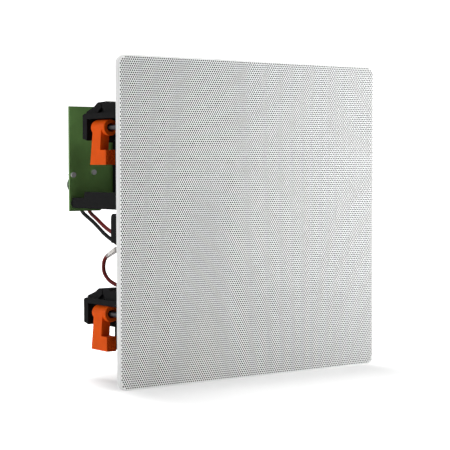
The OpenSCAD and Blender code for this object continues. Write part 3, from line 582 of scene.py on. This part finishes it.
class GrilleOperator(bpy.types.Operator):
    """Builds the pierced sheet and the folded edge of the grille"""

    bl_idname = "speaker.grille"
    bl_label = "Grille"

    def execute(self, context):
        size = context.scene.speaker_sizes
        half, front, back = ring_box("grille")
        lay = Piercing(size, half, front)
        tree = staggered_tree()
        for k in range(PANELS):
            first = lay.row_foot(k * lay.panel_rows + 0.5)
            cell = pierced_cell("grille_sheet_%d" % (k + 1), lay)
            repeat(cell, tree, columns=lay.columns, rows=lay.panel_rows, pitch=lay.pitch * MM,
                   row_step=lay.row_step * MM, first_height=first * MM, corner_across=(lay.drop_x - 0.1) * MM,
                   corner_up=lay.drop_z * MM, finish=finishes()["powder"])
            settle(cell, "root", "powder")
        corners = [self.corner(lay, side, end) for side in (-1, 1) for end in (-1, 1)]
        edge = join("grille_edge", [self.fold(size, lay, half, back), self.strips(lay), *corners])
        settle(edge, "root", "powder", "grille")
        return {"FINISHED"}

    def corner(self, lay, side, end):
        """One round corner of the sheet, with the holes that fit it."""
        edge_margin = 0.2
        rows = lay.corner_rows(end)
        r, middle = lay.corner_r, lay.flat - lay.corner_r
        outline = [(lay.flat, lay.drop_z), *arc((middle, middle), (r, r), [90 * k / 8 for k in range(9)])]
        outline.append((rows[-1][0], lay.flat))
        for k in reversed(range(CORNER_ROWS)):
            foot = lay.drop_z + k * lay.row_step
            outline.append((rows[k][0], foot))
            if k > 0:
                outline.append((rows[k - 1][0], foot))
        holes = []
        for k, (_, odd) in enumerate(rows):
            z = lay.drop_z + (k + 0.5) * lay.row_step
            for j in range(3):
                x = lay.drop_x + (j if odd else j + 0.5) * lay.pitch
                reach = hypot(max(x - middle, 0), max(z - middle, 0)) + lay.hole_r
                if reach < r - edge_margin:
                    holes.append([(side * u, end * v) for u, v in hole_ring(x, z, lay.hole_r)])
        outline = [(side * u, end * v) for u, v in outline]
        return add_mesh("corner", *pierced_corner(outline, holes, lay.front, lay.wall))

    def strips(self, lay):
        """The plain border between the corners, and the half cells that end every second row."""
        areas = [(-lay.flat, -lay.drop_z, -lay.half_x, lay.drop_z), (lay.half_x, -lay.drop_z, lay.flat, lay.drop_z)]
        for end in (-1, 1):
            reach = lay.corner_rows(end)[-1][0]
            low, high = sorted((end * lay.half_z, end * lay.flat))
            areas.append((-reach, low, reach, high))
        for row in range(1, lay.rows, 2):
            low, high = lay.row_foot(row), lay.row_foot(row) + lay.row_step
            if abs(low + lay.row_step / 2) < lay.drop_z:
                areas.append((lay.half_x - lay.pitch / 2, low, lay.half_x, high))
                areas.append((-lay.half_x, low, -lay.half_x + lay.pitch / 2, high))
        points, faces = [], []
        for x0, z0, x1, z1 in areas:
            base = len(points)
            points += [(x, lay.front, z) for x, z in ((x0, z0), (x1, z0), (x1, z1), (x0, z1))]
            faces.append((base, base + 1, base + 2, base + 3))
        return add_mesh("strips", points, faces)

    def fold(self, size, lay, half, back):
        """The fold and its return, closed all round."""
        sheet, fold, corner = size.sheet_t / MM, size.fold_r / MM, size.corner_r / MM
        inside, burr = half - sheet, 0.2
        loops = []
        for k in range(7):
            a = radians(15 * k)
            reach = lay.flat + fold * sin(a)
            y = lay.front + fold * (1 - cos(a))
            loops.append(rounded_loop(reach, lay.corner_r + fold * sin(a), y))
        for reach, radius, y in (
            (half, corner, back - burr), (half - burr, corner - burr, back), (inside, corner - sheet, back),
            (inside, corner - sheet, lay.front + sheet),
        ):
            loops.append(rounded_loop(reach, radius, y))
        return soften(outward(add_mesh("grille_fold", *bridge_loops(loops, True))))


class ClothOperator(bpy.types.Operator):
    """Stretches the acoustic cloth behind the grille"""

    bl_idname = "speaker.cloth"
    bl_label = "Acoustic cloth"

    def execute(self, context):
        half, front, back = ring_box("acoustic_cloth")
        corner_r, bevel = 4.6, 0.15
        loops = []
        for inset, y in ((bevel, front), (0, (front + back) / 2), (bevel, back)):
            loops.append(rounded_loop(half - inset, corner_r - inset, y))
        points, faces = bridge_loops(loops, False)
        n = len(loops[0])
        faces += [tuple(range(n)), tuple(range(3 * n - 1, 2 * n - 1, -1))]
        cloth = outward(add_mesh("stretched_cloth", points, faces))
        settle(cloth, "root", "cloth", "acoustic_cloth")
        return {"FINISHED"}


# Frame and clamps

class FrameOperator(bpy.types.Operator):
    """Finishes the mounting frame, its gasket and its magnets"""

    bl_idname = "speaker.frame"
    bl_label = "Mounting frame"

    def execute(self, context):
        dress("moulding", "mounting_frame")
        dress("nickel", "grille_magnets")
        outer, front, back = ring_box("flange_gasket")
        width = context.scene.speaker_sizes.foam_w / MM
        inner_corner, outer_corner = 9, 12
        # As shares of the width from inside, and of the thickness from the back
        section = (
            (0.06, -1), (0, -0.8), (0, -0.35), (0.06, -0.12), (0.3, 0), (0.7, 0), (0.94, -0.12), (1, -0.35),
            (1, -0.8), (0.94, -1),
        )
        loops = []
        for share, level in section:
            reach = outer - width * (1 - share)
            radius = inner_corner + (outer_corner - inner_corner) * share
            loops.append(rounded_loop(reach, radius, back + level * (back - front)))
        foam = soften(outward(add_mesh("foam_strip", *bridge_loops(loops, True))), 40)
        settle(foam, "root", "foam", "flange_gasket")
        return {"FINISHED"}


def threaded_rod(name, x, z, start, end, root_r, crest_r, pitch, around=20, along=6):
    """A rod along the depth with a helical thread."""
    steps = int((end - start) / pitch * along)
    loops = []
    for j in range(steps + 1):
        y = start + (end - start) * j / steps
        ring = []
        for i in range(around):
            a = 2 * pi * i / around
            phase = (y / pitch - i / around) % 1
            r = root_r + (crest_r - root_r) * (1 - abs(2 * phase - 1))
            ring.append((x + r * cos(a), y, z + r * sin(a)))
        loops.append(ring)
    points, faces = bridge_loops(loops, False)
    n = len(points)
    points += [(x, start, z), (x, end, z)]
    for i in range(around):
        k = (i + 1) % around
        faces.append((n, k, i))
        faces.append((n + 1, n - around + i, n - around + k))
    return soften(add_mesh(name, points, [f[::-1] for f in faces]), 50)


def screw_head(name, x, z, front, r, height, slot_w, slot_l, slot_d):
    """A round head facing the front, with a cross recess cut in it."""
    flat, dome = 0.72 * r, 0.55 * height
    profile = [(0, 0), (flat / 2, 0), (flat, 0), *arc((flat, dome), (r - flat, -dome), (65, 40, 15, 0))]
    profile += [(r, height), (0, height)]
    head = turned(name, profile, (x, z), 40, base=front)
    half = Vector((slot_l / 2, slot_d, slot_w / 2))
    for turn in (0, 90):
        box = rounded_box("cutter_%d" % turn, -half, half, 0.1, 1)
        slot = Matrix.Translation(Vector((x, front, z)) * MM) @ Matrix.Rotation(radians(turn), 4, "Y")
        box.data.transform(slot)
        cut = head.modifiers.new("recess", "BOOLEAN")
        cut.object = box
        cut.solver = "EXACT"
        bake(head)
        bpy.data.objects.remove(box)
    return soften(head)


class ClampOperator(bpy.types.Operator):
    """Builds the threaded clamp screws and finishes the clamps and bushes"""

    bl_idname = "speaker.clamps"
    bl_label = "Clamps and screws"

    def execute(self, context):
        pitch = context.scene.speaker_sizes.thread_pitch / MM
        for corner in CORNERS:
            dress("clamp", "clamp_" + corner)
            dress("brass", "bush_" + corner)
            x, z, head_r, front, end = axis_box("screw_" + corner)
            rod = threaded_rod("rod", x, z, start=front + 2.3, end=end, root_r=1.62, crest_r=2.02, pitch=pitch)
            head = screw_head("head", x, z, front, head_r, height=2.4, slot_w=0.9, slot_l=4.4, slot_d=1.5)
            screw = join("clamp_screw_" + corner, [rod, head])
            settle(screw, "screw_body_" + corner, "dark_screw", "screw_" + corner)
        return {"FINISHED"}


# Driver

def sectors(name, node, section, key, count=12, steps=8):
    """A soft ring in sectors, its outer edge on the basket and its inner edge on the cone."""
    span = 2 * pi / count
    n = len(section)
    for k in range(count):
        loops = []
        for j in range(steps + 1):
            a = span * (k + j / steps)
            loops.append([(r * cos(a), y, r * sin(a)) for r, y in section])
        points, faces = bridge_loops(loops, False)
        faces += [tuple(range(n)), tuple(range(len(points) - 1, len(points) - n - 1, -1))]
        piece = soften(outward(add_mesh("%s_%02d" % (name, k + 1), points, faces)), 50)
        paint(piece, key)
        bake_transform(piece)
        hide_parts(node)


class DriverOperator(bpy.types.Operator):
    """Builds the surround, the spider and the woofer's gasket, and finishes the rest of the driver"""

    bl_idname = "speaker.driver"
    bl_label = "Woofer and tweeter"

    def execute(self, context):
        dress("basket", "woofer_basket")
        dress("zinc", "woofer_screws")
        dress("cone", "cone")
        dress("enamel", "voice_coil")
        dress("plate", "top_plate", "yoke")
        dress("ferrite", "ferrite_magnet")
        dress("moulding", "tweeter_post", "tweeter_housing", "tweeter_guard")
        dress("dome", "tweeter_dome")
        dress("fibre_board", "woofer_terminal")
        self.gasket()
        self.surround()
        self.spider()
        return {"FINISHED"}

    def gasket(self):
        """A ring with a thick rim on the basket and a thin lip over the surround."""
        outer, front, back = ring_box("woofer_gasket")
        width, rim, lift, bevel, nose = 4.6, 1.1, 0.6, 0.3, 0.4
        inner, seat = outer - width, outer - rim
        section = [
            (inner + bevel, front), (outer - nose, front), (outer, front + nose), (outer, back), (seat, back),
            (seat, back - lift), (inner, back - lift), (inner, front + bevel),
        ]
        ring = soften(turned("gasket_ring", section, segments=96))
        settle(ring, "root", "fibre", "woofer_gasket")

    def surround(self):
        """A half roll between a flat glued to the cone and a flat under the gasket."""
        outer, front, back = ring_box("surround")
        width, thick, cone_flat, basket_flat, gap = 18.5, 0.6, 4, 3, 0.4
        inner, level = outer - width, back - thick
        roll = level - front
        middle = inner + cone_flat + roll + gap
        angles, inside = range(172, 7, -12), roll - thick
        section = [(inner, level), *arc((middle, level), (roll, -roll), angles), (outer, level), (outer, back)]
        section += [*arc((middle, level), (inside, -inside), angles[::-1]), (inner, back)]
        sectors("rubber_roll", "surround", section, "rubber")

    def spider(self):
        """A corrugated disc from the voice coil to the basket's shelf."""
        outer, front, back = ring_box("spider")
        thick, swing, waves = 0.4, 0.7, 5
        coil_r, first, last, rim = 12.9, 15.9, 39.0, 2.5
        level = front + swing
        steps = 8 * waves
        upper = []
        for k in range(steps + 1):
            r = first + (last - first) * k / steps
            upper.append((r, level - swing * cos(2 * pi * waves * k / steps)))
        neck = level + 0.1
        section = [(coil_r, neck)] + upper + [(outer, back - thick), (outer, back), (outer - rim, back)]
        section += [(r, y + thick) for r, y in upper[::-1]] + [(coil_r, neck + thick)]
        sectors("corrugated_disc", "spider", section, "resin_cloth", steps=5)


# Crossover

def winding(name, x, z, radius, wire, start, turns, key):
    """Turns of wire side by side round a bobbin that stands along the depth."""
    profile = arc((radius, 0), (wire / 2, wire / 2), range(0, 360, 60))
    ring = repeat_along(turned(name, profile, segments=40), turns, (x, start, z), (0, wire, 0), key)
    settle(soften(ring, 80), "root", key)


class CrossoverOperator(bpy.types.Operator):
    """Builds the coils, cans and resistors, and finishes the board and its bracket"""

    bl_idname = "speaker.crossover"
    bl_label = "Crossover"

    def execute(self, context):
        dress("moulding", "crossover_bracket", "large_inductor")
        dress("zinc", "bracket_screws", "board_screws")
        dress("board", "crossover_board")
        dress("green_coil", "small_inductor")
        dress("nylon", "lead_header")
        back = ring_box("crossover_board")[2]
        self.cans(back)
        self.resistors(back)
        self.tracks(back)
        self.solder(back)
        wire = context.scene.speaker_sizes.coil_wire / MM
        cheek, depth = 1, 0.8
        for node, name, key, slot in (
            ("large_inductor", "large_winding", "enamel", "winding_copper"),
            ("small_inductor", "small_winding", "green_coil", "coil_green"),
        ):
            x, z, radius, front, end = axis_box(node)
            start = front + cheek + wire / 2
            turns = int((end - cheek - start) / wire)
            winding(name, x, z, radius - depth, wire, start, turns, key)
        return {"FINISHED"}

    def cans(self, back):
        """Cans that lie on the board's back, with a crimp at one end."""
        parts = []
        for x, z, r, length in CANS:
            section = [
                (0, 0.6), (r - 1.6, 0.6), (r - 1.2, 0), (r - 0.6, 0), (r - 0.15, 0.35), (r, 0.9), (r, 2.6),
                (r - 0.7, 3.2), (r - 0.7, 3.8), (r, 4.4), (r, length - 0.8), (r - 0.3, length - 0.25),
                (r - 0.9, length), (0, length),
            ]
            parts.append(turned("can", section, (back + r, z), 48, about="X", base=x - length / 2))
        cans = soften(join("capacitor_cans", parts))
        settle(cans, "root", "can", "capacitors")

    def tracks(self, back):
        """Wide tracks under the board's mask."""
        sunk, proud = 0.05, 0.12
        parts = []
        for x0, z0, x1, z1 in TRACKS:
            parts.append(rounded_box("track", (x0, back - sunk, z0), (x1, back + proud, z1), 0.05, 1))
        settle(join("board_tracks", parts), "root", "track")

    def solder(self, back):
        """Domes of solder on the lead header's pins."""
        pins, spacing = 6, 3.2
        dome = turned("solder", [(0, 0), (0.8, 0.05), (0.55, 0.5), (0.25, 0.75), (0, 0.8)], segments=12)
        domes = repeat_along(dome, pins, (-92, back, 16.2), (spacing, 0, 0), "tin")
        settle(soften(domes, 60), "root", "tin")

    def resistors(self, back):
        """Cement blocks that lie on the board's back."""
        length, depth, height, edge_r = 25, 8.5, 9, 0.7
        parts = []
        for x, z in RESISTORS:
            parts.append(rounded_box("body", (x, back, z), (x + length, back + depth, z + height), edge_r))
        blocks = join("resistor_blocks", parts)
        settle(blocks, "root", "cement", "resistors")


class TerminalOperator(bpy.types.Operator):
    """Finishes the input terminal, its levers and the spade connector"""

    bl_idname = "speaker.terminal"
    bl_label = "Input terminal"

    def execute(self, context):
        dress("moulding", "input_terminal")
        dress("red_lever", "lever_red")
        dress("black_lever", "lever_black")
        dress("tin", "terminal_tab", "spade_connector")
        self.sleeve()
        return {"FINISHED"}

    def sleeve(self):
        """A clear sleeve over the spade connector, drawn in where the lead leaves it."""
        tilt, start = radians(23), Vector((-93, 26, -15.5))
        along = Vector((0, cos(tilt), -sin(tilt)))
        up = Vector((0, sin(tilt), cos(tilt)))
        # As (distance along the spade, half width, half thickness)
        stations = (
            (9.55, 2.1, 1.6), (9.9, 2.28, 1.78), (12, 2.28, 1.78), (14.5, 2.25, 1.76), (17, 2.28, 1.78),
            (19, 2.2, 1.74), (20.6, 1.98, 1.72), (22, 1.86, 1.74), (23, 1.86, 1.76), (23.45, 1.8, 1.7),
        )
        wall, sink, squareness, around = 0.3, 0.8, 0.7, 28
        loops = []
        for less, rows in ((0, stations), (wall, stations[::-1])):
            for reach, wide, thick in rows:
                centre = start + along * reach - up * sink
                ring = []
                for k in range(around):
                    a = 2 * pi * k / around
                    u, v = (copysign(abs(share) ** squareness, share) for share in (cos(a), sin(a)))
                    ring.append(centre + Vector((1, 0, 0)) * u * (wide - less) + up * v * (thick - less))
                loops.append(ring)
        sleeve = soften(outward(add_mesh("clear_sleeve", *bridge_loops(loops, True))), 50)
        settle(sleeve, "root", "sleeve", "spade_sleeve")


# Leads

def smooth_route(route, per_span=5):
    """Points of one smooth curve through a route, in metres."""
    stops = [Vector(p) * MM for p in route]
    path = []
    for i in range(len(stops) - 1):
        p0, p1, p2 = stops[max(i - 1, 0)], stops[i], stops[i + 1]
        p3 = stops[min(i + 2, len(stops) - 1)]
        for k in range(per_span):
            t = k / per_span
            path.append(0.5 * (2 * p1 + (p2 - p0) * t + (2 * p0 - 5 * p1 + 4 * p2 - p3) * t * t
                               + (3 * p1 - p0 - 3 * p2 + p3) * t ** 3))
    return path + [stops[-1]]


class LeadsOperator(bpy.types.Operator):
    """Lays the three leads along their routes"""

    bl_idname = "speaker.leads"
    bl_label = "Leads"

    def execute(self, context):
        thick = context.scene.speaker_sizes.lead_d
        for name, node, route, key, slot in (
            ("black_wire", "lead_black", BLACK_ROUTE, "black_lead", "lead_black"),
            ("red_wire", "lead_red", RED_ROUTE, "red_lead", "lead_red"),
            ("woofer_wire", "woofer_lead", WOOFER_ROUTE, "red_lead", "lead_red"),
        ):
            path = smooth_route(route)
            curve = bpy.data.curves.new(name, "CURVE")
            curve.dimensions = "3D"
            curve.bevel_depth = thick / 2
            curve.bevel_resolution = 4
            curve.use_fill_caps = True
            spline = curve.splines.new("POLY")
            spline.points.add(len(path) - 1)
            for point, place in zip(spline.points, path):
                point.co = (*place, 1)
            wire = add_object(name, curve)
            settle(wire, "root", key, node)
        return {"FINISHED"}


# Stage

class StageOperator(bpy.types.Operator):
    """Sets the floor, the light and the camera"""

    bl_idname = "speaker.stage"
    bl_label = "Floor, light and camera"

    def execute(self, context):
        scene = context.scene
        scene.view_settings.view_transform = "Standard"
        self.camera(scene)
        self.floor()
        self.world(scene)
        self.lamp("key", (0.66, -0.44, -0.02), size=0.6, power=9.4)
        self.lamp("left", (-2.4, 0.7, 0.6), size=1.0, power=24)
        self.lamp("high", (0.1, -2.0, 2.1), size=0.8, power=16)
        self.lamp("top", (0.1, 0.55, 2.3), size=0.8, power=32)
        return {"FINISHED"}

    def camera(self, scene):
        """The camera that was fitted to the grille's four corners."""
        data = bpy.data.cameras.new("camera")
        data.sensor_width = 36
        data.lens = 112.7
        data.clip_start = 0.05
        data.clip_end = 50
        camera = add_object("camera", data)
        turn, rise, roll = (radians(a) for a in (-35.747, 2.444, -0.134))
        back = Vector((sin(turn) * cos(rise), -cos(turn) * cos(rise), sin(rise)))
        right = (-back).cross(Vector((0, 0, 1))).normalized()
        up = right.cross(-back)
        across = right * cos(roll) + up * sin(roll)
        upright = up * cos(roll) - right * sin(roll)
        camera.rotation_mode = "QUATERNION"
        camera.location = (-0.6155, -0.8230, 0.0397)
        camera.rotation_quaternion = Matrix((across, upright, back)).transposed().to_quaternion()
        scene.camera = camera

    def floor(self):
        """A wide floor that bends up into a wall far behind."""
        low = SOLIDS_BOX[0].z / MM
        half, wall, bend, height = 6000, 2500, 600, 5000
        curve = arc((wall - bend, low + bend), (bend, -bend), range(90, -1, -10))
        profile = [(-half, low), *curve, (wall, low + height)]
        points = [(x, y, z) for y, z in profile for x in (-half, half)]
        faces = [(2 * k, 2 * k + 1, 2 * k + 3, 2 * k + 2) for k in range(len(profile) - 1)]
        floor = soften(add_mesh("floor", points, faces))
        floor.data.materials.append(self.pale_floor())

    def pale_floor(self):
        """A floor that a camera sees white far off; close to the speaker's front its glow is dimmed, a painted
        shade that deepens the shadows there.
        """
        material = bpy.data.materials.new("pale_floor")
        material.use_nodes = True
        tree = material.node_tree
        tree.nodes.clear()
        matt = add_node(tree, "ShaderNodeBsdfDiffuse", {"Color": (0.8, 0.8, 0.8, 1)})
        place = add_node(tree, "ShaderNodeTexCoord").outputs["Object"]
        # Added to a place, this counts it from a point under the speaker's front
        from_front = (0, 0.06, 0.115)
        shift = add_node(tree, "ShaderNodeVectorMath", {0: place, 1: from_front})
        reach = add_node(tree, "ShaderNodeVectorMath", {0: shift.outputs["Vector"]}, operation="LENGTH")
        # Painted shade: within about 0.11 m of the speaker's front the glow drops to a quarter, so the floor there
        # renders grey whether it is shadowed or not
        level = add_node(tree, "ShaderNodeMapRange", {
            "Value": reach.outputs["Value"], "From Min": 0.11, "From Max": 0.2, "To Min": 0.25, "To Max": 1.0,
        })
        strength = calc(tree, "MULTIPLY", seen_rays(tree), level.outputs["Result"])
        glow = add_node(tree, "ShaderNodeEmission", {"Color": (1, 1, 1, 1), "Strength": strength})
        both = add_node(tree, "ShaderNodeAddShader", {0: matt.outputs[0], 1: glow.outputs[0]})
        add_node(tree, "ShaderNodeOutputMaterial", {"Surface": both.outputs[0]})
        return material

    def world(self, scene):
        """A dim room whose walls a camera and a reflection see white."""
        world = bpy.data.worlds.new("studio")
        world.use_nodes = True
        tree = world.node_tree
        level = add_node(tree, "ShaderNodeMapRange", {"Value": seen_rays(tree), "To Min": 0.14})
        back = tree.nodes["Background"].inputs
        back["Color"].default_value = (1, 1, 1, 1)
        tree.links.new(level.outputs["Result"], back["Strength"])
        scene.world = world

    def lamp(self, name, place, size, power):
        """A square lamp that faces the speaker's middle; sizes in metres, power in watts."""
        data = bpy.data.lights.new(name, "AREA")
        data.shape = "SQUARE"
        data.size = size
        data.energy = power
        lamp = add_object(name, data)
        lamp.location = place
        lamp.rotation_mode = "QUATERNION"
        lamp.rotation_quaternion = Vector(place).to_track_quat("Z", "Y")


def size_property(name, description, default, low, high):
    """A length that a user may change, in metres."""
    return bpy.props.FloatProperty(
        name=name, description=description, default=default, min=low, max=high, unit="LENGTH", precision=5)


def colour_property(name, description, default):
    """A colour that a user may change."""
    return bpy.props.FloatVectorProperty(
        name=name, description=description, default=default, subtype="COLOR", size=3, min=0, max=1)


class SpeakerSizes(bpy.types.PropertyGroup):
    """Sizes that a user would change"""

    hole_pitch: size_property("Hole pitch", "Spacing of the grille's holes along a row", 0.001732, 0.0012, 0.006)
    hole_d: size_property("Hole diameter", "Diameter of one grille hole", 0.00131, 0.0005, 0.004)
    sheet_t: size_property("Sheet thickness", "Thickness of the grille's steel sheet", 0.0008, 0.0004, 0.0012)
    hole_wall: size_property("Hole wall", "Depth of the holes' straight walls", 0.0003, 0.0002, 0.0008)
    corner_r: size_property("Corner radius", "Radius of the grille's corners", 0.006, 0.003, 0.01)
    fold_r: size_property("Fold radius", "Radius of the fold round the grille's front", 0.0006, 0.0004, 0.002)
    thread_pitch: size_property("Thread pitch", "Pitch of the clamp screws' thread", 0.002, 0.0007, 0.003)
    coil_wire: size_property("Coil wire", "Diameter of the wire in the coils", 0.0008, 0.0004, 0.0015)
    lead_d: size_property("Lead diameter", "Diameter of the leads over their insulation", 0.0028, 0.001, 0.004)
    foam_w: size_property("Foam width", "Width of the foam strip under the flange", 0.008, 0.004, 0.009)


class SpeakerColours(bpy.types.PropertyGroup):
    """Colours that a user would change"""

    grille: colour_property("Grille", "Powder coat of the grille", (0.82, 0.825, 0.82))
    moulding: colour_property("Mouldings", "Frame, bracket and terminal block", (0.006, 0.006, 0.0065))
    clamp: colour_property("Clamps", "The four clamps", (0.84, 0.1, 0.004))
    board: colour_property("Circuit board", "Solder mask of the board", (0.155, 0.31, 0.09))
    cone: colour_property("Cone", "The woofer's cone", (0.03, 0.03, 0.032))
    lead: colour_property("Red lead", "Insulation of the red leads", (0.15, 0.014, 0.014))


class SpeakerPanel(bpy.types.Panel):
    """Sizes, colours and pieces of the speaker"""

    bl_idname = "VIEW3D_PT_speaker"
    bl_label = "Ceiling speaker"
    bl_space_type = "VIEW_3D"
    bl_region_type = "UI"
    bl_category = "Speaker"

    def draw(self, context):
        for group in (context.scene.speaker_sizes, context.scene.speaker_colours):
            box = self.layout.box()
            for name in group.__annotations__:
                box.prop(group, name)
        for operator in OPERATORS:
            self.layout.operator(operator.bl_idname)


OPERATORS = (
    LeadsOperator, GrilleOperator, ClothOperator, FrameOperator, ClampOperator, DriverOperator,
    CrossoverOperator, TerminalOperator, StageOperator,
)


def register():
    for group in (SpeakerSizes, SpeakerColours, *OPERATORS, SpeakerPanel):
        bpy.utils.register_class(group)
    bpy.types.Scene.speaker_sizes = bpy.props.PointerProperty(type=SpeakerSizes)
    bpy.types.Scene.speaker_colours = bpy.props.PointerProperty(type=SpeakerColours)


def unregister():
    del bpy.types.Scene.speaker_colours
    del bpy.types.Scene.speaker_sizes
    for group in (SpeakerPanel, *reversed(OPERATORS), SpeakerColours, SpeakerSizes):
        bpy.utils.unregister_class(group)


def main():
    register()
    for operator in OPERATORS:
        group, call = operator.bl_idname.split(".")
        getattr(getattr(bpy.ops, group), call)()


if __name__ == "__main__":
    main()
